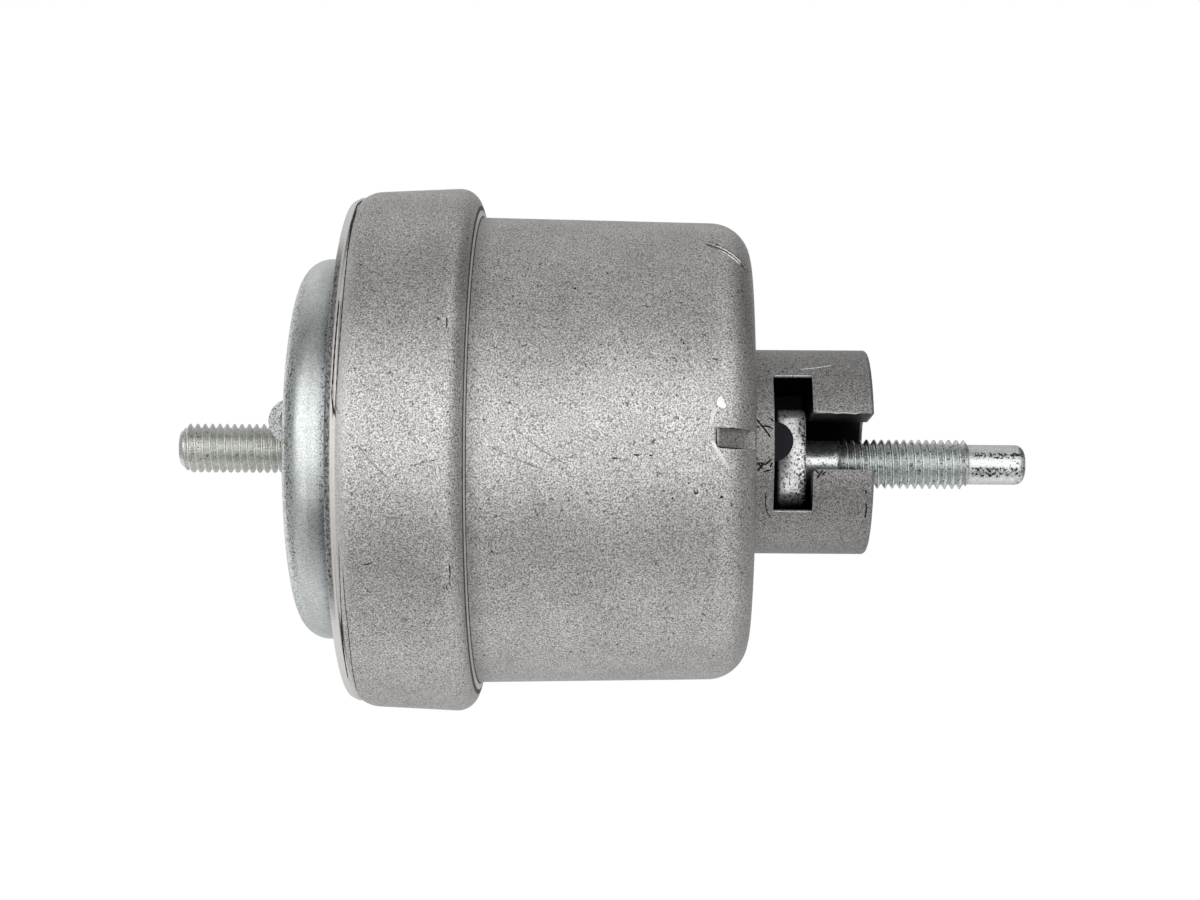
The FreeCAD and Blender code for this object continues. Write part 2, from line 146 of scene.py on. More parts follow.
def make_camera():
    to_eye, up = camera_axes()
    eye = Vector((0, 0, (EYE_X - SEAT_X) * PIXEL)) + to_eye * EYE_DISTANCE
    target = Vector((0, 0, (CENTRE_X - SEAT_X) * PIXEL)) + up * AXIS_DROP
    forward = (target - eye).normalized()
    tilt = math.radians(TILT_DEG)
    top = up * math.cos(tilt) - Vector((0, 0, 1)) * math.sin(tilt)
    right = forward.cross(top).normalized()
    top = right.cross(forward)
    data = bpy.data.cameras.new("camera")
    data.sensor_width = 36
    data.lens = data.sensor_width * EYE_DISTANCE / (IMAGE_WIDTH * PIXEL)
    data.clip_start = 0.01
    camera = bpy.data.objects.new("camera", data)
    bpy.context.scene.collection.objects.link(camera)
    set_axes(camera, right, top, -forward, eye)
    bpy.context.scene.camera = camera


# Studio light: brightness of the surroundings at angles about the mount's axis, from the eye upwards,
# for zones from the left of the picture to its right; the outermost zones are plain
SKY_ANGLES = (-180, -150, -120, -95, -70, -45, -20, 0, 20, 40, 60, 80, 100, 125, 150, 180)
SKY_ZONES = (-0.95, -0.7, -0.35, 0.0, 0.35, 0.7, 0.95)
SKY_LEFT = 0.44
SKY_RIGHT = 0.37
SKY = (
    (1.15, 1.12, 0.76, 0.82, 0.58, 0.54, 0.87, 1.30, 1.75, 1.19, 0.45, 0.28, 0.35, 0.49, 0.71, 1.15),
    (0.74, 0.63, 0.66, 0.85, 0.56, 0.47, 1.13, 1.47, 1.47, 1.16, 0.44, 0.25, 0.56, 0.75, 0.70, 0.74),
    (0.56, 0.57, 0.75, 0.89, 0.62, 0.16, 0.62, 1.28, 1.30, 0.81, 0.32, 0.43, 0.56, 0.54, 0.57, 0.56),
    (0.49, 0.53, 0.69, 0.89, 0.86, 0.79, 1.11, 1.48, 1.53, 1.15, 0.74, 0.62, 0.63, 0.53, 0.47, 0.49),
    (0.27, 0.59, 0.77, 0.72, 0.59, 0.57, 0.73, 0.95, 1.23, 1.25, 0.84, 0.30, 0.01, 0.00, 0.00, 0.27),
)
SKY_SCALE = 4.0
SKY_TINT = 1.01


def node_value(links, node, index, value):
    """Sets or links one input of a node."""
    if isinstance(value, bpy.types.NodeSocket):
        links.new(value, node.inputs[index])
    else:
        node.inputs[index].default_value = value


def math_node(nodes, links, operation, first, second=0.0):
    node = nodes.new("ShaderNodeMath")
    node.operation = operation
    node_value(links, node, 0, first)
    node_value(links, node, 1, second)
    return node.outputs[0]


def sky_ramp(nodes, links, turn, row, label):
    """Brightness all the way round the mount's axis, for one zone."""
    ramp = nodes.new("ShaderNodeValToRGB")
    ramp.label = label
    elements = ramp.color_ramp.elements
    while len(elements) < len(row):
        elements.new(0.5)
    for element, angle, light in zip(elements, SKY_ANGLES, row):
        element.position = angle / 360 + 0.5
        level = light / SKY_SCALE
        element.color = (level, level, level * SKY_TINT, 1)
    links.new(turn, ramp.inputs["Fac"])
    return ramp.outputs["Color"]


def sky_light(nodes, links):
    """Light from every direction, blended between neighbouring zones."""
    to_eye, up = camera_axes()
    direction = nodes.new("ShaderNodeTexCoord").outputs["Generated"]

    def along(axis):
        node = nodes.new("ShaderNodeVectorMath")
        node.operation = "DOT_PRODUCT"
        links.new(direction, node.inputs[0])
        node.inputs[1].default_value = axis
        return node.outputs["Value"]

    turn = math_node(nodes, links, "ARCTAN2", along(up), along(to_eye))
    turn = math_node(nodes, links, "DIVIDE", turn, 2 * math.pi)
    turn = math_node(nodes, links, "ADD", turn, 0.5)
    sideways = along(Vector((0, 0, 1)))

    def rise(low, high):
        node = nodes.new("ShaderNodeMapRange")
        node.inputs["From Min"].default_value = low
        node.inputs["From Max"].default_value = high
        links.new(sideways, node.inputs["Value"])
        return node.outputs["Result"]

    plain = len(SKY_ANGLES)
    rows = ((SKY_LEFT,) * plain, *SKY, (SKY_RIGHT,) * plain)
    total = None
    for i, row in enumerate(rows):
        share = 1.0
        if i > 0:
            share = rise(SKY_ZONES[i - 1], SKY_ZONES[i])
        if i < len(rows) - 1:
            share = math_node(nodes, links, "MINIMUM", share, rise(SKY_ZONES[i + 1], SKY_ZONES[i]))
        scaled = nodes.new("ShaderNodeVectorMath")
        scaled.operation = "SCALE"
        links.new(sky_ramp(nodes, links, turn, row, f"zone {i}"), scaled.inputs[0])
        links.new(share, scaled.inputs["Scale"])
        if total is None:
            total = scaled.outputs[0]
        else:
            adding = nodes.new("ShaderNodeVectorMath")
            adding.operation = "ADD"
            links.new(total, adding.inputs[0])
            links.new(scaled.outputs[0], adding.inputs[1])
            total = adding.outputs[0]
    return total


def make_world():
    """Studio light from the surroundings, which the camera itself sees as white."""
    world = bpy.data.worlds.new("studio")
    bpy.context.scene.world = world
    world.use_nodes = True
    nodes, links = world.node_tree.nodes, world.node_tree.links
    nodes.clear()
    lit = nodes.new("ShaderNodeBackground")
    links.new(sky_light(nodes, links), lit.inputs["Color"])
    lit.inputs["Strength"].default_value = SKY_SCALE
    seen = nodes.new("ShaderNodeBackground")
    seen.inputs["Color"].default_value = (1, 1, 1, 1)
    path = nodes.new("ShaderNodeLightPath")
    mix = nodes.new("ShaderNodeMixShader")
    out = nodes.new("ShaderNodeOutputWorld")
    links.new(path.outputs["Is Camera Ray"], mix.inputs["Fac"])
    links.new(lit.outputs[0], mix.inputs[1])
    links.new(seen.outputs[0], mix.inputs[2])
    links.new(mix.outputs[0], out.inputs["Surface"])
    bpy.context.scene.view_settings.view_transform = "Standard"


class Paint:
    """A node material under construction, in object coordinates."""

    def __init__(self, name, roughness, metallic):
        self.material = bpy.data.materials.new(name)
        self.material.use_nodes = True
        self.nodes = self.material.node_tree.nodes
        self.links = self.material.node_tree.links
        self.shader = self.nodes["Principled BSDF"]
        self.shader.inputs["Metallic"].default_value = metallic
        self.shader.inputs["Roughness"].default_value = roughness
        self.place = self.nodes.new("ShaderNodeTexCoord").outputs["Object"]

    def noise(self, grain_mm, detail=2.0, rough=0.5):
        """Noise whose features are about grain_mm across."""
        texture = self.nodes.new("ShaderNodeTexNoise")
        texture.inputs["Scale"].default_value = 1 / (grain_mm * MM)
        texture.inputs["Detail"].default_value = detail
        texture.inputs["Roughness"].default_value = rough
        self.links.new(self.place, texture.inputs["Vector"])
        return texture.outputs["Fac"]

    def ramp(self, value, *stops):
        """Colour ramp through (position, colour) stops; a plain number is a grey."""
        node = self.nodes.new("ShaderNodeValToRGB")
        elements = node.color_ramp.elements
        while len(elements) < len(stops):
            elements.new(0.5)
        for element, (position, colour) in zip(elements, stops):
            element.position = position
            if not hasattr(colour, "__len__"):
                colour = (colour, colour, colour)
            element.color = (*colour, 1)
        self.links.new(value, node.inputs["Fac"])
        return node.outputs["Color"]

    def blend(self, share, first, second, mode="MIX"):
        node = self.nodes.new("ShaderNodeMix")
        node.data_type = "RGBA"
        node.blend_type = mode
        for index, value in ((0, share), (6, first), (7, second)):
            if isinstance(value, tuple):
                value = (*value, 1)
            node_value(self.links, node, index, value)
        return node.outputs[2]

    def darken(self, colour, marks):
        return self.blend(1.0, colour, marks, "MULTIPLY")

    def axis_distance(self, centre_x=0.0):
        """Distance from an axis parallel to the mount's, in millimetres."""
        node = self.nodes.new("ShaderNodeVectorMath")
        node.operation = "MULTIPLY_ADD"
        self.links.new(self.place, node.inputs[0])
        node.inputs[1].default_value = (1 / MM, 1 / MM, 0)
        node.inputs[2].default_value = (-centre_x, 0, 0)
        length = self.nodes.new("ShaderNodeVectorMath")
        length.operation = "LENGTH"
        self.links.new(node.outputs[0], length.inputs[0])
        return length.outputs["Value"]

    def along(self, axis, mirrored=False):
        """Place along one axis, in millimetres, or its distance from the middle."""
        node = self.nodes.new("ShaderNodeSeparateXYZ")
        self.links.new(self.place, node.inputs[0])
        value = self.math("DIVIDE", node.outputs[axis], MM)
        return self.math("ABSOLUTE", value) if mirrored else value

    def math(self, operation, first, second=0.0):
        return math_node(self.nodes, self.links, operation, first, second)

    def product(self, *values):
        total = values[0]
        for value in values[1:]:
            total = self.math("MULTIPLY", total, value)
        return total

    def highest(self, *values):
        total = values[0]
        for value in values[1:]:
            total = self.math("MAXIMUM", total, value)
        return total

    def step(self, value, start, stop):
        """Smooth 0 to 1 as a value goes from start to stop."""
        node = self.nodes.new("ShaderNodeMapRange")
        node.interpolation_type = "SMOOTHSTEP"
        node.inputs["From Min"].default_value = start
        node.inputs["From Max"].default_value = stop
        self.links.new(value, node.inputs["Value"])
        return node.outputs["Result"]

    def bump(self, height, depth_mm, strength=1.0):
        node = self.nodes.new("ShaderNodeBump")
        node.inputs["Strength"].default_value = strength
        node.inputs["Distance"].default_value = depth_mm * MM
        self.links.new(height, node.inputs["Height"])
        return node.outputs["Normal"]

    def finish(self, colour=None, rough=None, normal=None):
        for value, name in ((colour, "Base Color"), (rough, "Roughness"), (normal, "Normal")):
            if value is not None:
                self.links.new(value, self.shader.inputs[name])
        return self.material


def cast_aluminium(name, light, dark, roughness=0.43, painted_shading=None):
    """Blasted casting: sparkle and dark specks over cloudy staining, with a piece's own painted light and
    shade on top.
    """
    paint = Paint(name, roughness, 0.9)
    sparkle = paint.noise(0.27, 1.5, 0.6)
    middle = [(a + b) / 2 for a, b in zip(light, dark)]
    colour = paint.ramp(sparkle, (0.37, dark), (0.5, middle), (0.63, light))
    colour = paint.darken(colour, paint.ramp(paint.noise(16, 3, 0.6), (0.35, 0.86), (0.62, 1.0)))
    colour = paint.darken(colour, paint.ramp(paint.noise(0.8, 2, 0.6), (0.30, 0.25), (0.345, 1.0)))
    if painted_shading:
        colour = painted_shading(paint, colour)
    normal = paint.bump(sparkle, 0.016, 0.9)
    return paint.finish(colour, None, normal)


def housing_painted_light(paint, colour):
    """Painted highlight on the rolled lip over a painted dark edge, and painted shade in the flange's corner,
    the notch and the body's end.
    """
    height = paint.along(2)
    front = paint.step(paint.along(0, True), *FRONT_X)
    # Painted highlight on the rolled lip
    lip = paint.product(paint.step(height, *LIP_GLOW_Z), front, 0.6)
    lip = paint.highest(lip, paint.product(paint.step(height, *LIP_BRIGHT_Z), 0.85))
    colour = paint.blend(lip, colour, (0.95, 0.94, 0.91))
    # Painted shade: speckled dark edge under the lip
    underside = paint.product(paint.step(height, *LIP_UNDERSIDE_Z),
                              paint.step(paint.axis_distance(), *LIP_UNDERSIDE_R), front, 0.9)
    colour = paint.blend(underside, colour, paint.ramp(paint.noise(0.5, 2, 0.6), (0.42, 0.02), (0.54, 0.32)))
    # Painted shade in the flange's corner, in the notch and at the body's end
    corner = paint.product(*[paint.step(height, *pair) for pair in CORNER_SHADE_Z], 0.35)
    notch = paint.product(*[paint.step(height, *pair) for pair in NOTCH_Z],
                          *[paint.step(paint.along(0), *pair) for pair in NOTCH_X],
                          paint.step(paint.along(1), 0, -1), 0.5)
    end = paint.product(paint.step(height, *BODY_END_Z), 0.19)
    shade = paint.highest(paint.math("ADD", corner, notch), end)
    return paint.blend(shade, colour, (0.08, 0.08, 0.08))


def foot_painted_shade(paint, colour):
    """Painted shade: dark inside the foot, up to just below its face."""
    inside_r = FOOT_R - 0.35
    skin = paint.step(paint.axis_distance(), inside_r - 1.2, inside_r)
    face = paint.step(paint.along(2), FOOT_FACE_Z - 0.7, FOOT_FACE_Z - 0.2)
    return paint.blend(paint.highest(skin, face), (0.012, 0.012, 0.016), colour)


def head_stains(paint):
    """More specks on the T-bolt's head towards its thread and its lower side."""
    upper = paint.product(paint.step(paint.along(2), HEAD_Z[1] - 2.95, HEAD_Z[1] - 0.35), 0.09)
    lower = paint.product(paint.step(paint.along(0), 0, 9), 0.04)
    return paint.math("ADD", upper, lower)


def dog_specks_and_painted_shade(paint):
    """Specks crowded in two stripes along the dog beside its bright middle as painted dark reflection, and on
    its chamfer as painted shade.
    """
    across, height = paint.along(0), paint.along(2)
    # Painted shade: specks crowded on the chamfer
    total = paint.product(paint.step(height, DOG_TIP - 2.65, DOG_TIP - 2.15), 0.5)
    # Painted dark reflection: specks crowded in stripes beside the bright middle
    for middle, half in DOG_STRIPES:
        away = paint.math("ABSOLUTE", paint.math("SUBTRACT", across, middle))
        total = paint.highest(total, paint.step(away, half, half * 0.5))
    on_dog = paint.step(height, THREAD_Z[1] + 0.2, THREAD_Z[1] + 0.6)
    push = paint.math("SUBTRACT", paint.product(total, 0.17), 0.07)
    return paint.product(push, on_dog)


def zinc(name, light, dark, roughness=0.3, specks=None, metallic=0.95, stains_and_painted_shade=None, painted_shading=None):
    """Clear zinc plating: soft mottled sheen with fine scuffs, and dark specks where asked.

    Stains and painted shade make the specks denser, and a piece's own painted light and shade go on top.
    """
    paint = Paint(name, roughness, metallic)
    colour = paint.ramp(paint.noise(5, 4, 0.6), (0.3, dark), (0.7, light))
    grain = paint.noise(0.3, 2, 0.6)
    colour = paint.darken(colour, paint.ramp(grain, (0.36, 0.66), (0.58, 1.0)))
    if specks:
        value = paint.noise(0.55, 3, 0.7)
        if stains_and_painted_shade:
            value = paint.math("SUBTRACT", value, stains_and_painted_shade(paint))
        colour = paint.darken(colour, paint.ramp(value, (specks - 0.03, 0.05), (specks + 0.03, 1.0)))
    if painted_shading:
        colour = painted_shading(paint, colour)
    rough = paint.ramp(paint.noise(1.2, 3, 0.6), (0.3, roughness - 0.06), (0.7, roughness + 0.08))
    normal = paint.bump(grain, 0.008, 0.6)
    return paint.finish(colour, rough, normal)


def root_painted_shade(axis_x, share):
    """Painted shade that darkens the roots of the thread about an axis."""
    def painted_shading(paint, colour):
        depth = paint.step(paint.axis_distance(axis_x), ROOT_R + 0.55, ROOT_R + 0.1)
        below_dog = paint.step(paint.along(2), THREAD_Z[1], THREAD_Z[1] - 0.5)
        # Painted shade in the thread's roots
        return paint.blend(paint.product(depth, below_dog, share), colour, (0.05, 0.055, 0.055))
    return painted_shading


def pan_painted_shade(paint, colour):
    """Painted shade on the pan's rim, bridge and sides, and specks crowded on its rim, corner and bridge."""
    height = paint.along(2)
    rim = paint.step(height, *PAN_RIM_Z)
    corner = paint.product(*[paint.step(height, *pair) for pair in PAN_CORNER_Z])
    bridge = paint.step(height, *PAN_BRIDGE_Z)
    sides = paint.product(paint.step(paint.along(0, True), *PAN_SIDES_X),
                          paint.step(height, *PAN_SIDES_Z), 0.25)
    # Painted shade on the rim, the bridge and the sides
    shade = paint.math("ADD", paint.product(paint.highest(rim, bridge), 0.42), sides)
    colour = paint.blend(shade, colour, (0.1, 0.11, 0.115))
    crowd = paint.product(paint.highest(rim, corner, bridge), 0.14)
    value = paint.math("SUBTRACT", paint.noise(0.42, 3, 0.7), crowd)
    return paint.darken(colour, paint.ramp(value, (0.27, 0.2), (0.36, 1.0)))


def rubber(name):
    paint = Paint(name, 0.7, 0.0)
    paint.shader.inputs["Specular IOR Level"].default_value = 0.2
    colour = paint.ramp(paint.noise(3, 3, 0.6), (0.3, (0.008, 0.008, 0.011)), (0.7, (0.016, 0.016, 0.022)))
    normal = paint.bump(paint.noise(0.4, 2, 0.5), 0.02, 0.5)
    return paint.finish(colour, None, normal)


def wear(piece, material):
    piece.data.materials.clear()
    piece.data.materials.append(material)


def make_materials():
    """Materials of the solids by slot, and those of the pieces made here."""
    made = {
        "cast_aluminium": cast_aluminium("cast_aluminium", (0.90, 0.875, 0.845), (0.26, 0.255, 0.245),
                                         painted_shading=housing_painted_light),
        "core_aluminium": cast_aluminium("core_aluminium", (0.52, 0.508, 0.495), (0.15, 0.148, 0.145),
                                         painted_shading=foot_painted_shade),
        "plate_aluminium": cast_aluminium("plate_aluminium", (0.6, 0.6, 0.6), (0.4, 0.4, 0.4)),
        "zinc_pan": zinc("zinc_pan", (0.84, 0.88, 0.86), (0.70, 0.74, 0.73), 0.22, painted_shading=pan_painted_shade),
        "zinc_screw": zinc("zinc_screw", (0.70, 0.73, 0.71), (0.5, 0.53, 0.52), 0.3),
        "ring_steel": zinc("ring_steel", (0.3, 0.3, 0.31), (0.2, 0.2, 0.21), 0.5),
        "rubber": rubber("rubber"),
    }
    for row in frame["record"]["subparts"]:
        wear(frame["nodes"][row["node"]], made[row["material_slot"]])
    made["bolt_head"] = zinc("bolt_head", (1.0, 0.99, 0.97), (0.92, 0.91, 0.9), 0.3, 0.40,
                             metallic=0.62, stains_and_painted_shade=head_stains)
    made["bolt_zinc"] = zinc("bolt_zinc", (0.96, 1.0, 0.98), (0.81, 0.85, 0.83), 0.27, 0.39,
                             stains_and_painted_shade=dog_specks_and_painted_shade, painted_shading=root_painted_shade(BOLT_SHIFT, 0.2))
    made["stud_zinc"] = zinc("stud_zinc", (1.0, 1.0, 0.96), (0.84, 0.86, 0.81), 0.27, 0.36,
                             painted_shading=root_painted_shade(0.0, 0.12))
    # Paler casting for the painted highlights along the rib's edges
    made["pale_cast"] = cast_aluminium("pale_cast", (0.98, 0.97, 0.95), (0.6, 0.59, 0.58))
    made["white_spot"] = zinc("white_spot", (1.0, 1.0, 0.99), (0.96, 0.96, 0.95), 0.22, metallic=1.0)
    # Dark casting for specks, and for painted shade beside the rib and in the shoulder's corners
    made["grime_and_painted_shade"] = cast_aluminium("grime_and_painted_shade", (0.2, 0.2, 0.2), (0.05, 0.05, 0.05), 0.6)
    # Dark casting for marks and folds, and for painted shade round the notch
    made["dark_line"] = cast_aluminium("dark_line", (0.05, 0.05, 0.05), (0.015, 0.015, 0.015), 0.6)
    made["soft_line"] = cast_aluminium("soft_line", (0.55, 0.53, 0.51), (0.2, 0.19, 0.185), 0.5)
    # Bright zinc for painted highlights on the shoulder's face, the notch's edge and the foot's edges, and a
    # scuff
    made["bright_line"] = zinc("bright_line", (0.97, 0.96, 0.94), (0.85, 0.84, 0.82), 0.4, metallic=0.5)
    return made


def make_floor():
    """Pale round floor far below the mount, outside the picture and out of its reflections."""
    low = -0.9
    reach = 2.2
    sides = 96
    rim = [(reach * math.cos(2 * math.pi * i / sides), reach * math.sin(2 * math.pi * i / sides), low)
           for i in range(sides)]
    mesh = bpy.data.meshes.new("floor")
    mesh.from_pydata(rim, [], [tuple(range(sides))])
    floor = bpy.data.objects.new("floor", mesh)
    bpy.context.scene.collection.objects.link(floor)
    paint = Paint("floor", 0.8, 0.0)
    paint.shader.inputs["Emission Color"].default_value = (1, 1, 1, 1)
    paint.shader.inputs["Emission Strength"].default_value = 0.25
    colour = paint.ramp(paint.noise(60, 3, 0.6), (0.3, 0.9), (0.7, 0.93))
    mesh.materials.append(paint.finish(colour))
    floor.visible_glossy = False
    floor.visible_diffuse = False


def add_piece(name, mesh, body, material, sharp_deg=35, replaced=()):
    """Finishes a mesh in millimetres as one piece that rides on a body."""
    data = bpy.data.meshes.new(name)
    bmesh.ops.remove_doubles(mesh, verts=mesh.verts, dist=1e-4)
    bmesh.ops.dissolve_degenerate(mesh, edges=mesh.edges, dist=1e-5)
    bmesh.ops.recalc_face_normals(mesh, faces=mesh.faces)
    bmesh.ops.scale(mesh, vec=(MM, MM, MM), verts=mesh.verts)
    for face in mesh.faces:
        face.smooth = True
    mesh.to_mesh(data)
    mesh.free()
    data.set_sharp_from_angle(angle=math.radians(sharp_deg))
    piece = bpy.data.objects.new(name, data)
    bpy.context.scene.collection.objects.link(piece)
    data.materials.append(material)
    if body:
        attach(piece, body)
    if replaced:
        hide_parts(*replaced)
    return piece


def add_grid(mesh, rows, closed_columns=True):
    """Quads between rows of points."""
    made = [[mesh.verts.new(point) for point in row] for row in rows]
    count = len(rows[0])
    for low, high in zip(made, made[1:]):
        for i in range(count if closed_columns else count - 1):
            k = (i + 1) % count
            mesh.faces.new((low[i], low[k], high[k], high[i]))
    return made


def add_turned(mesh, outline, columns=64):
    """Closed solid of revolution from an (r, z) outline that starts and ends on the axis."""
    rows = []
    for r, z in outline:
        reach = max(r, 1e-5)
        rows.append([(reach * math.cos(2 * math.pi * i / columns),
                      reach * math.sin(2 * math.pi * i / columns), z) for i in range(columns)])
    made = add_grid(mesh, rows)
    bmesh.ops.pointmerge(mesh, verts=made[0], merge_co=(0, 0, outline[0][1]))
    bmesh.ops.pointmerge(mesh, verts=made[-1], merge_co=(0, 0, outline[-1][1]))


# One pitch of the thread: share of the pitch and share of the way from root to crest
THREAD_STEPS = ((0.0, 0.03), (0.11, -0.06), (0.22, 0.03), (0.39, 0.5), (0.56, 0.97), (0.63, 1.0),
                (0.70, 0.97), (0.85, 0.5))


def add_thread(mesh, low, high, low_r, high_r, low_taper, high_taper, columns=72):
    """Right-hand thread between two heights, its crests cut down to the end radii over the tapers."""
    turns = math.ceil((high - low) / PITCH) + 1
    rows = []
    for turn in range(-1, turns):
        for share, rise in THREAD_STEPS:
            row = []
            for i in range(columns + 1):
                angle = 2 * math.pi * i / columns
                z = low + PITCH * (turn + share + i / columns)
                r = ROOT_R + (CREST_R - ROOT_R) * rise
                r = min(r, low_r + (z - low) * (CREST_R - low_r) / low_taper,
                        high_r + (high - z) * (CREST_R - high_r) / high_taper)
                if z <= low:
                    z, r = low, low_r
                if z >= high:
                    z, r = high, high_r
                row.append((r * math.cos(angle), r * math.sin(angle), z))
            rows.append(row)
    add_grid(mesh, rows, closed_columns=False)
    bmesh.ops.remove_doubles(mesh, verts=mesh.verts, dist=1e-3)
    bmesh.ops.dissolve_degenerate(mesh, edges=mesh.edges, dist=1e-4)
    open_edges = [edge for edge in mesh.edges if edge.is_boundary]
    bmesh.ops.holes_fill(mesh, edges=open_edges, sides=0)


def make_stud():
    """Lower stud: rolled thread with a chamfered tip, shoulder and head inside the pan."""
    mesh = bmesh.new()
    add_thread(mesh, STUD_TIP, -0.05, STUD_TIP_R, 4.4, low_taper=1.7, high_taper=0.5)
    add_turned(mesh, STUD_HEAD)
    add_piece("stud_thread", mesh, "case", materials["stud_zinc"], 50, ("cover_stud",))


def add_head(mesh):
    """Forged head of the T-bolt: a rounded block whose upper face falls away from the shank."""
    rings = []
    low, high = HEAD_Z
    levels = ((low, 0.5), (low + 0.18, 0.14), (low + 0.5, 0.0), ((low + high) / 2, 0.0),
              (high - 0.6, 0.0), (high - 0.22, 0.16), (high, 0.55))
    outline = []
    for sx, sy, start in ((1, 1, 0), (-1, 1, 90), (-1, -1, 180), (1, -1, 270)):
        for k in range(7):
            turn = math.radians(start + 15 * k)
            outline.append((sx * (HEAD_HALF_X - HEAD_CORNER), sy * (HEAD_HALF_Y - HEAD_CORNER),
                            math.cos(turn), math.sin(turn)))
    for z, inset in levels:
        ring = []
        for cx, cy, nx, ny in outline:
            x = cx + (HEAD_CORNER - inset) * nx
            y = cy + (HEAD_CORNER - inset) * ny
            fall = HEAD_FALL * max(0.0, math.hypot(x, y) - SHANK_R) if z > (low + high) / 2 else 0.0
            ring.append((x, y, z - fall))
        rings.append(ring)
    for scale in (0.8, 0.62, 0.5):
        ring = []
        for x, y, z in rings[len(levels) - 1]:
            fall = HEAD_FALL * max(0.0, math.hypot(x * scale, y * scale) - SHANK_R)
            ring.append((x * scale, y * scale, high - fall))
        rings.append(ring)
    made = add_grid(mesh, rings)
    mesh.faces.new(made[0])
    mesh.faces.new(made[-1])


def make_bolt():
    """T-bolt: forged head, plain shank, rolled thread and a rounded dog point."""
    place = Matrix.Translation((BOLT_SHIFT, 0, 0)) @ Matrix.Rotation(math.radians(BOLT_TURN_DEG), 4, "Z")
    head = bmesh.new()
    add_head(head)
    bmesh.ops.transform(head, matrix=place, verts=head.verts)
    add_piece("t_bolt_head", head, "core", materials["bolt_head"], 40, ("t_bolt",))
    low, high = THREAD_Z
    screw = bmesh.new()
    add_turned(screw, ((0, HEAD_Z[1] - 0.5), (SHANK_R, HEAD_Z[1] - 0.5), (SHANK_R, low - 0.2),
                       (SHANK_R - 0.25, low + 0.3), (0, low + 0.3)))
    add_thread(screw, low, high, SHANK_R - 0.05, DOG_R - 0.05, low_taper=0.9, high_taper=0.8)
    tip = [(0, high - 0.6), (DOG_R - 0.1, high - 0.6), (DOG_R, high + 0.3)]
    for k in range(9):
        turn = math.radians(90 * k / 8)
        tip.append((DOG_R - DOG_ROUND * (1 - math.cos(turn)), DOG_TIP - DOG_ROUND * (1 - math.sin(turn))))
    tip.append((0, DOG_TIP))
    add_turned(screw, tip)
    bmesh.ops.transform(screw, matrix=place, verts=screw.verts)
    add_piece("t_bolt_screw", screw, "core", materials["bolt_zinc"], 50)


def fine_section():
    """The spring's section with its long runs divided."""
    fine = []
    for here, ahead in zip(SPRING_SECTION, SPRING_SECTION[1:] + SPRING_SECTION[:1]):
        count = max(1, round(math.dist(here, ahead) / SPRING_STEP))
        for k in range(count):
            fine.append(tuple(a + (b - a) * k / count for a, b in zip(here, ahead)))
    return fine


def make_spring():
    """Rubber spring in sectors between the ring and the core, and the pad below the core."""
    section = fine_section()
    spread = math.pi / SPRING_SECTORS
    for sector in range(SPRING_SECTORS):
        middle = 2 * math.pi * sector / SPRING_SECTORS
        mesh = bmesh.new()
        rows = []
        for k in range(7):
            turn = middle + spread * (k / 3 - 1)
            rows.append([(r * math.cos(turn), r * math.sin(turn), z) for r, z in section])
        made = add_grid(mesh, rows)
        mesh.faces.new(made[0])
        mesh.faces.new(made[-1])
        piece = add_piece(f"main_spring_{sector:02d}", mesh, None, materials["rubber"], 35,
                          ("main_spring",))
        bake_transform(piece)
    pad = bmesh.new()
    low, high = PAD_Z
    add_turned(pad, ((0, low), (PAD_R - 0.9, low), (PAD_R - 0.3, low + 0.25), (PAD_R, low + 0.8),
                     (PAD_R, high), (0, high)), 48)
    add_piece("core_pad", pad, "core", materials["rubber"])


# Where the housing's outer radius is read: a side that nothing is cut from, its heights and their spacing,
# and the width of grooves that marks bridge
PLAIN_DEG = 135
READ_Z = (10.2, 87.7)
READ_STEP = 0.1
BRIDGED = 0.7


def direction_at(deg):
    """Unit vector out from the axis at an angle round the mount."""
    turn = math.radians(deg)
    return Vector((-math.sin(turn), -math.cos(turn), 0))


def read_housing():
    """Heights and outer radii of the housing, read from its solid with narrow grooves bridged."""
    housing = frame["nodes"]["housing"]
    points = [housing.matrix_world @ vertex.co / MM for vertex in housing.data.vertices]
    surface = BVHTree.FromPolygons(points, [tuple(face.vertices) for face in housing.data.polygons])
    out = direction_at(PLAIN_DEG)
    heights = np.arange(READ_Z[0], READ_Z[1] + READ_STEP / 2, READ_STEP)
    radii = []
    for z in heights:
        hit = surface.ray_cast(out * 100 + Vector((0, 0, z)), -out)[0]
        radii.append(math.hypot(hit.x, hit.y))
    reach = round(BRIDGED / READ_STEP / 2)
    last = len(radii) - 1
    for choose in (max, min):
        radii = [choose(radii[max(0, i - reach):min(last, i + reach) + 1]) for i in range(len(radii))]
    return heights, radii


housing_z, housing_r = read_housing()


def spot(z, deg, on_foot):
    """Point on the housing or the foot."""
    r = FOOT_R if on_foot else float(np.interp(z, housing_z, housing_r))
    return direction_at(deg) * r + Vector((0, 0, z))


def outward(z, deg, on_foot):
    """Unit normal of the surface there."""
    along_z = spot(z + 0.2, deg, on_foot) - spot(z - 0.2, deg, on_foot)
    around = spot(z, deg + 0.5, on_foot) - spot(z, deg - 0.5, on_foot)
    return along_z.cross(around).normalized()


# Radius that turns the angles of a mark's path into lengths
PATH_R = 45


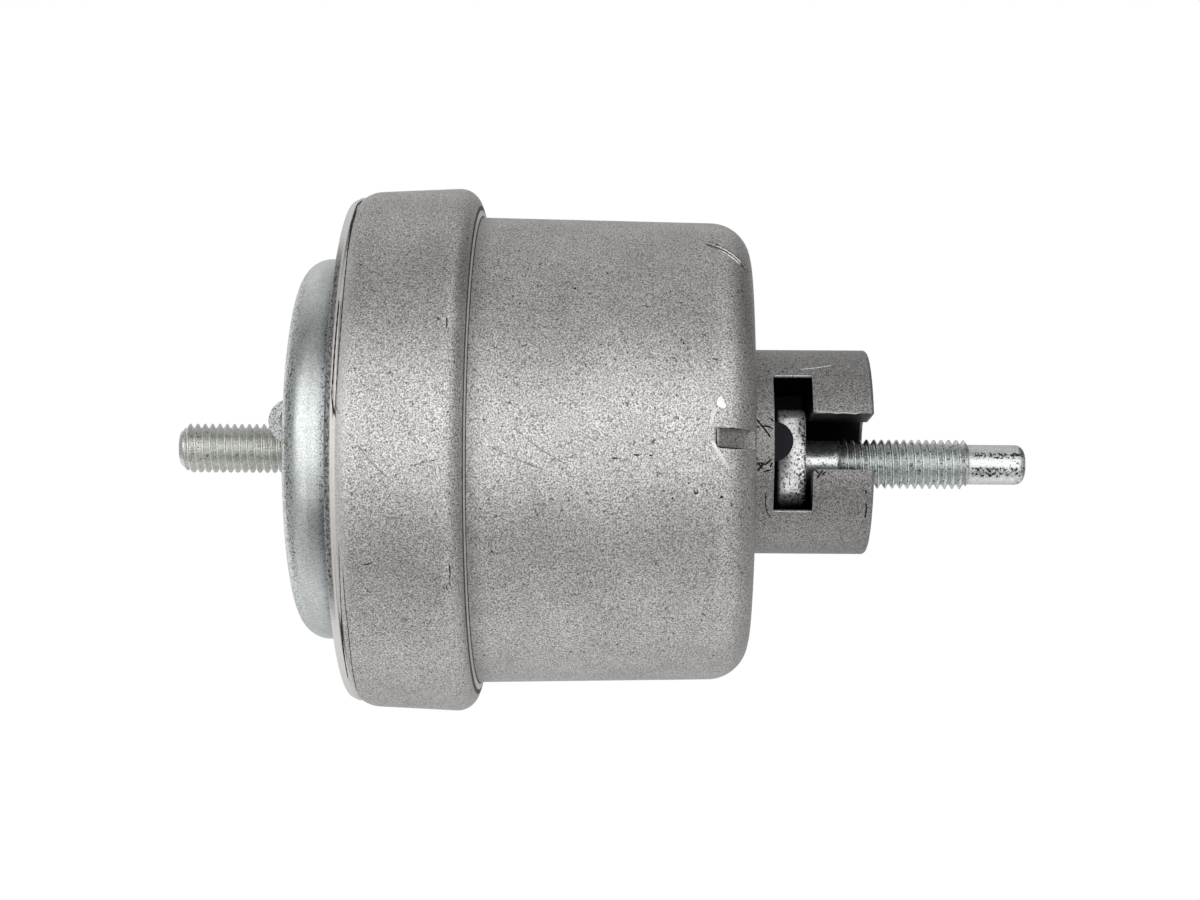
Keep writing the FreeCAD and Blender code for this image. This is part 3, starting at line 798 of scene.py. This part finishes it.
def smooth_path(path, step):
    """Points along straight runs, close together, with the corners eased."""
    fine = [path[0]]
    for here, ahead in zip(path, path[1:]):
        run = math.hypot(ahead[0] - here[0], math.radians(ahead[1] - here[1]) * PATH_R)
        count = max(1, round(run / step))
        for k in range(1, count + 1):
            fine.append(tuple(a + (b - a) * k / count for a, b in zip(here, ahead)))
    for _ in range(2):
        eased = [fine[0]]
        for a, b, c in zip(fine, fine[1:], fine[2:]):
            eased.append(tuple((x + 2 * y + w) / 4 for x, y, w in zip(a, b, c)))
        fine = eased + [fine[-1]]
    return fine


# How deep the edge and the middle of a mark reach below the surface
MARK_SINK = 0.05
MARK_ROOT = 0.25


def add_ridge(mesh, path, width, height, on_foot=False, ragged=0.25, step=0.5):
    """Low ridge along (z, angle) points, sunk into the surface and tapered at both ends."""
    fine = smooth_path(path, step)
    centres = [spot(z, deg, on_foot) for z, deg in fine]
    rows = []
    for i, here in enumerate(centres):
        before, after = centres[max(0, i - 1)], centres[min(len(centres) - 1, i + 1)]
        run = (after - before).normalized()
        out = outward(*fine[i], on_foot)
        side = run.cross(out).normalized()
        share = i / (len(centres) - 1)
        taper = min(1.0, 8 * share + 0.35, 8 * (1 - share) + 0.35)
        wave = 1 + ragged * math.sin(2.9 * i) * math.cos(1.3 * i + 0.7)
        half = width / 2 * taper * wave
        rise = height * taper * wave
        flank = side * half
        crown = flank * 0.45
        rows.append([here + flank - out * MARK_SINK, here + crown + out * rise * 0.8, here + out * rise,
                     here - crown + out * rise * 0.8, here - flank - out * MARK_SINK,
                     here - out * MARK_ROOT])
    made = add_grid(mesh, rows)
    mesh.faces.new(made[0])
    mesh.faces.new(made[-1])


def add_mark(name, mesh, material, on_foot):
    body, slot = ("core", "core_aluminium") if on_foot else ("case", "cast_aluminium")
    add_piece(name, mesh, body, materials[material], 60)


def ridges(name, paths, width, height, material, on_foot=False):
    mesh = bmesh.new()
    for path in paths:
        add_ridge(mesh, path, width, height, on_foot)
    add_mark(name, mesh, material, on_foot)


def add_blob(mesh, z, deg, half_z, half_around, height):
    """Flattened bump or pit stain on the housing."""
    here, out = spot(z, deg, False), outward(z, deg, False)
    around = Vector((0, 0, 1)).cross(out).normalized()
    along = out.cross(around)
    rows = []
    for k in range(6):
        tip = math.radians(90 * k / 5)
        lift = out * (height * math.sin(tip) - 0.04)
        row = []
        for i in range(12):
            turn = 2 * math.pi * i / 12
            reach = max(math.cos(tip), 0.02) * (1 + 0.1 * math.sin(3 * turn + z))
            row.append(here + along * half_z * reach * math.cos(turn)
                       + around * half_around * reach * math.sin(turn) + lift)
        rows.append(row)
    rows.insert(0, [point - out * 0.3 for point in rows[0]])
    made = add_grid(mesh, rows)
    mesh.faces.new(made[0])
    mesh.faces.new(made[-1])


def blobs(name, places, material):
    mesh = bmesh.new()
    for place in places:
        add_blob(mesh, *place)
    add_mark(name, mesh, material, False)


def add_ring(mesh, outline, columns=180):
    """Ring round the mount's axis from a closed (r, z) outline."""
    made = []
    for i in range(columns):
        turn = 2 * math.pi * i / columns
        made.append([mesh.verts.new((r * math.cos(turn), r * math.sin(turn), z)) for r, z in outline])
    for i, low in enumerate(made):
        high = made[(i + 1) % columns]
        for j in range(len(outline)):
            k = (j + 1) % len(outline)
            mesh.faces.new((low[j], low[k], high[k], high[j]))


def make_shoulder():
    """Face between the flange and the body, made bright as a painted highlight, with painted shade in the
    corners on both sides.
    """
    face = bmesh.new()
    # Painted highlight: the face between the flange and the body
    add_ring(face, ((47.2, 35.69), (48.3, 35.51), (48.3, 35.2), (47.2, 35.4)))
    add_piece("shoulder_face", face, "case", materials["bright_line"])
    grime_and_painted_shade = bmesh.new()
    # Painted shade in the corners on both sides of the face
    add_ring(grime_and_painted_shade, ((48.3, 35.48), (48.7, 35.41), (49.2, 35.33), (49.2, 35.1), (48.3, 35.2)))
    add_ring(grime_and_painted_shade, ((46.84, 35.9), (46.96, 35.78), (47.2, 35.66), (47.2, 35.4), (46.6, 35.6)))
    add_piece("shoulder_painted_shade", grime_and_painted_shade, "case", materials["grime_and_painted_shade"])


# Fold lines of the rolled lip, as (height, angle) points
SEAM_TOP = ((12.32, 69.4), (11.9, 64.4), (12.23, 55), (12.05, 52.7), (12.33, 47.7), (12.38, 42.2),
            (12.59, 34.8), (12.68, 26), (12.71, 18.9), (12.58, 10.3), (12.42, 3.1), (12.66, 2.0),
            (13.28, 0.98))
SEAM_LOW = ((12.87, -26.1), (12.7, -35.5), (12.43, -43.3), (12.2, -47.8), (11.9, -58.5), (11.75, -67.4))
FOLD_TOP = ((11.95, 26.6), (11.85, 17.0), (11.75, 9.3), (11.65, 4.84), (11.9, 2.73), (12.5, 0.3))
FOLD_LOW = ((13.44, -30.5), (13.43, -38.9), (13.54, -47.1), (13.32, -55.3), (13.09, -63.7), (12.81, -74.0))

# Specks on the body, as (height, angle) places
SPECKS = (
    (67.8, -6.8), (76.5, -13.4), (77.6, -15.5), (78.1, -15.3), (79.5, -13.6), (79.8, -15.1),
    (83.5, -10.3), (84.3, -12.1), (84.9, -15.3), (57.1, -57.9), (59.6, -58.4), (63.4, -58.9),
    (67.1, -47.9), (69.8, -48.2), (72.3, -49.0), (73.9, -49.2), (75.9, -50.1), (79.3, -49.8), (82.4, -48.6),
    (79.5, -53.7), (72.2, -54.1), (67.1, -62.5), (61.9, -63.1), (54.5, -62.1), (52.5, 35.4),
    (43.0, 10.5), (49.5, 9.4), (52.9, 4.6), (65.2, 17.0), (75.1, 20.4), (77.4, 22.1), (76.2, 18.1),
    (72.4, 15.0), (60.2, 15.5), (56.9, 15.4), (43.8, 4.5),
)


def make_lip_marks():
    """Folds and creases of the rolled lip, as dark lines."""
    ridges("lip_folds", (SEAM_TOP, FOLD_TOP), 0.3, 0.07, "dark_line")
    ridges("lip_creases", (SEAM_LOW, FOLD_LOW), 0.21, 0.06, "dark_line")


def make_housing_marks():
    """Painted highlights and shade along the small cast rib and the notch; scars, specks, scuffs, pits and a
    polished bump on the housing.
    """
    # Painted highlights along the rib's edges
    ridges("rib_edge_highlights", (
        ((80.4, 54.9), (81.6, 53.2), (83.3, 52.2), (85.2, 50.5), (86.7, 49.5)),
        ((82.4, 51.3), (83.8, 50.2), (85.3, 48.9), (86.4, 48.2)),
    ), 0.26, 0.16, "pale_cast")
    # Painted shade beside the rib
    ridges("rib_shade", (
        ((80.0, 54.1), (81.4, 52.4), (83.1, 51.3), (85.0, 49.6), (86.5, 48.6), (87.4, 48.0)),
    ), 0.4, 0.2, "grime_and_painted_shade")
    # Painted highlights along the notch's edges
    ridges("notch_edge_highlight", (
        ((81.3, 4.0), (80.7, 1.5), (80.5, 0.0)),
        ((80.68, -3.6), (81.3, -5.2), (82.16, -6.9), (84.02, -10.4)),
    ), 0.9, 0.06, "bright_line")
    # Painted shade round the notch
    ridges("notch_shade", (
        ((81.5, -0.8), (81.45, -2.5), (81.5, -5.1), (84, -5.4), (86.5, -5.4)),
        ((81.5, -0.8), (84.0, -0.75), (86.0, -0.8)),
    ), 0.28, 0.06, "dark_line")
    ridges("scars", (
        ((32.04, 21.4), (32.36, 20.1), (32.2, 18.7)), ((33.0, -29.4), (33.2, -31.4), (33.0, -33.2)),
        ((32.3, -34.3), (32.6, -35.5)), ((17.1, -30.1), (18.0, -30.0), (19.1, -29.4)),
        ((31.9, 18.3), (32.2, 17.6)), ((33.3, -27.9), (33.1, -28.8)), ((32.9, -33.6), (33.1, -34.6)),
    ), 0.32, 0.07, "dark_line")
    ridges("body_scars", (
        ((66.3, -7.0), (67.0, -7.3), (67.7, -7.0)), ((62.3, -7.8), (63.0, -7.6), (63.7, -7.8)),
        ((69.2, -7.2), (70.0, -7.0)), ((77.6, -15.9), (78.3, -15.5)), ((79.0, -14.9), (79.5, -14.5)),
    ), 0.5, 0.09, "dark_line")
    blobs("specks", [(z, deg, 0.15 + 0.05 * (i % 3), 0.17 + 0.05 * (i % 2), 0.085)
                     for i, (z, deg) in enumerate(SPECKS)], "grime_and_painted_shade")
    ridges("scuffs", (
        ((16.2, -4.5), (17.7, -6.7), (19.3, -8.9), (22.2, -11.8)), ((26.2, -9.4), (29.0, -8.6), (31.2, -8.0)),
        ((20.7, -19.5), (22.9, -19.7), (25.0, -20.0)), ((45.0, -1.5), (49.5, -6.0), (54.5, -9.5)),
        ((40.0, -5.0), (44.0, -7.6), (49.3, -10.2)),
    ), 0.4, 0.02, "soft_line")
    blobs("pits", (
        (55.2, 34.7, 0.26, 0.3, 0.1), (73.6, -16.9, 0.24, 0.24, 0.1), (82.5, -16.6, 0.35, 0.3, 0.09),
        (87.0, 26.6, 0.2, 0.25, 0.1), (75.5, 19.5, 0.15, 0.3, 0.1),
    ), "dark_line")
    blobs("polished_bump", ((82.3, 5.4, 0.85, 1.35, 0.26), (82.75, 4.5, 0.7, 0.8, 0.22)), "white_spot")


def make_foot_marks():
    """Rubber flash, scores, scuffs and marks on the foot, and painted highlights along the edges of the slot
    and its throat.
    """
    ridges("flash_wrinkles", (
        ((89.56, 13.5), (91.09, 7.9), (92.05, 4.6), (92.82, 1.3)), ((91.09, 7.9), (92.25, 7.9), (93.31, 6.3)),
        ((89.5, 8.4), (90.1, 8.1), (90.7, 6.8)), ((92.65, 12.4), (93.42, 10.7)),
        ((89.8, -13.9), (90.7, -11.7), (91.7, -13.3), (93.0, -10.0)), ((90.2, -16.6), (91.5, -12.2)),
        ((92.7, -14.4), (93.1, -11.7)), ((90.2, -11.7), (91.3, -15.5)), ((89.4, -13.4), (90.3, -9.0)),
        ((91.4, -16.9), (92.9, -16.0)), ((101.4, -15.9), (102.2, -18.0)), ((101.8, -20.3), (102.9, -15.8)),
        ((102.7, -19.1), (103.5, -16.4)),
    ), 0.42, 0.13, "dark_line", True)
    ridges("foot_scores", (
        ((111.5, -34.7), (111.6, -39.2), (111.5, -44.7)), ((111.3, -27.0), (111.4, -29.5)),
    ), 0.4, 0.06, "dark_line", True)
    # One scuff, and painted highlights along the slot's two edges and the throat's edge
    ridges("foot_scuffs_and_edge_highlights", (
        ((98.9, 46.0), (102.0, 47.5), (105.2, 50.1)), ((93.6, 40.5), (97.3, 40.6), (101.0, 40.5)),
        ((93.6, -40.6), (97.3, -40.7), (101.0, -40.6)),
        ((101.4, 16.9), (102.6, 16.0), (104.2, 16.3), (105.4, 15.4), (107.3, 15.9), (109.1, 15.1),
         (110.4, 16.4)),
    ), 0.22, 0.06, "bright_line", True)
    ridges("foot_marks", (
        ((92.0, -28.5), (91.9, -35.2), (92.3, -41.0), (93.2, -45.2)),
    ), 0.3, 0.05, "dark_line", True)


make_camera()
make_world()
make_floor()
materials = make_materials()
make_stud()
make_bolt()
make_spring()
make_shoulder()
make_lip_marks()
make_housing_marks()
make_foot_marks()
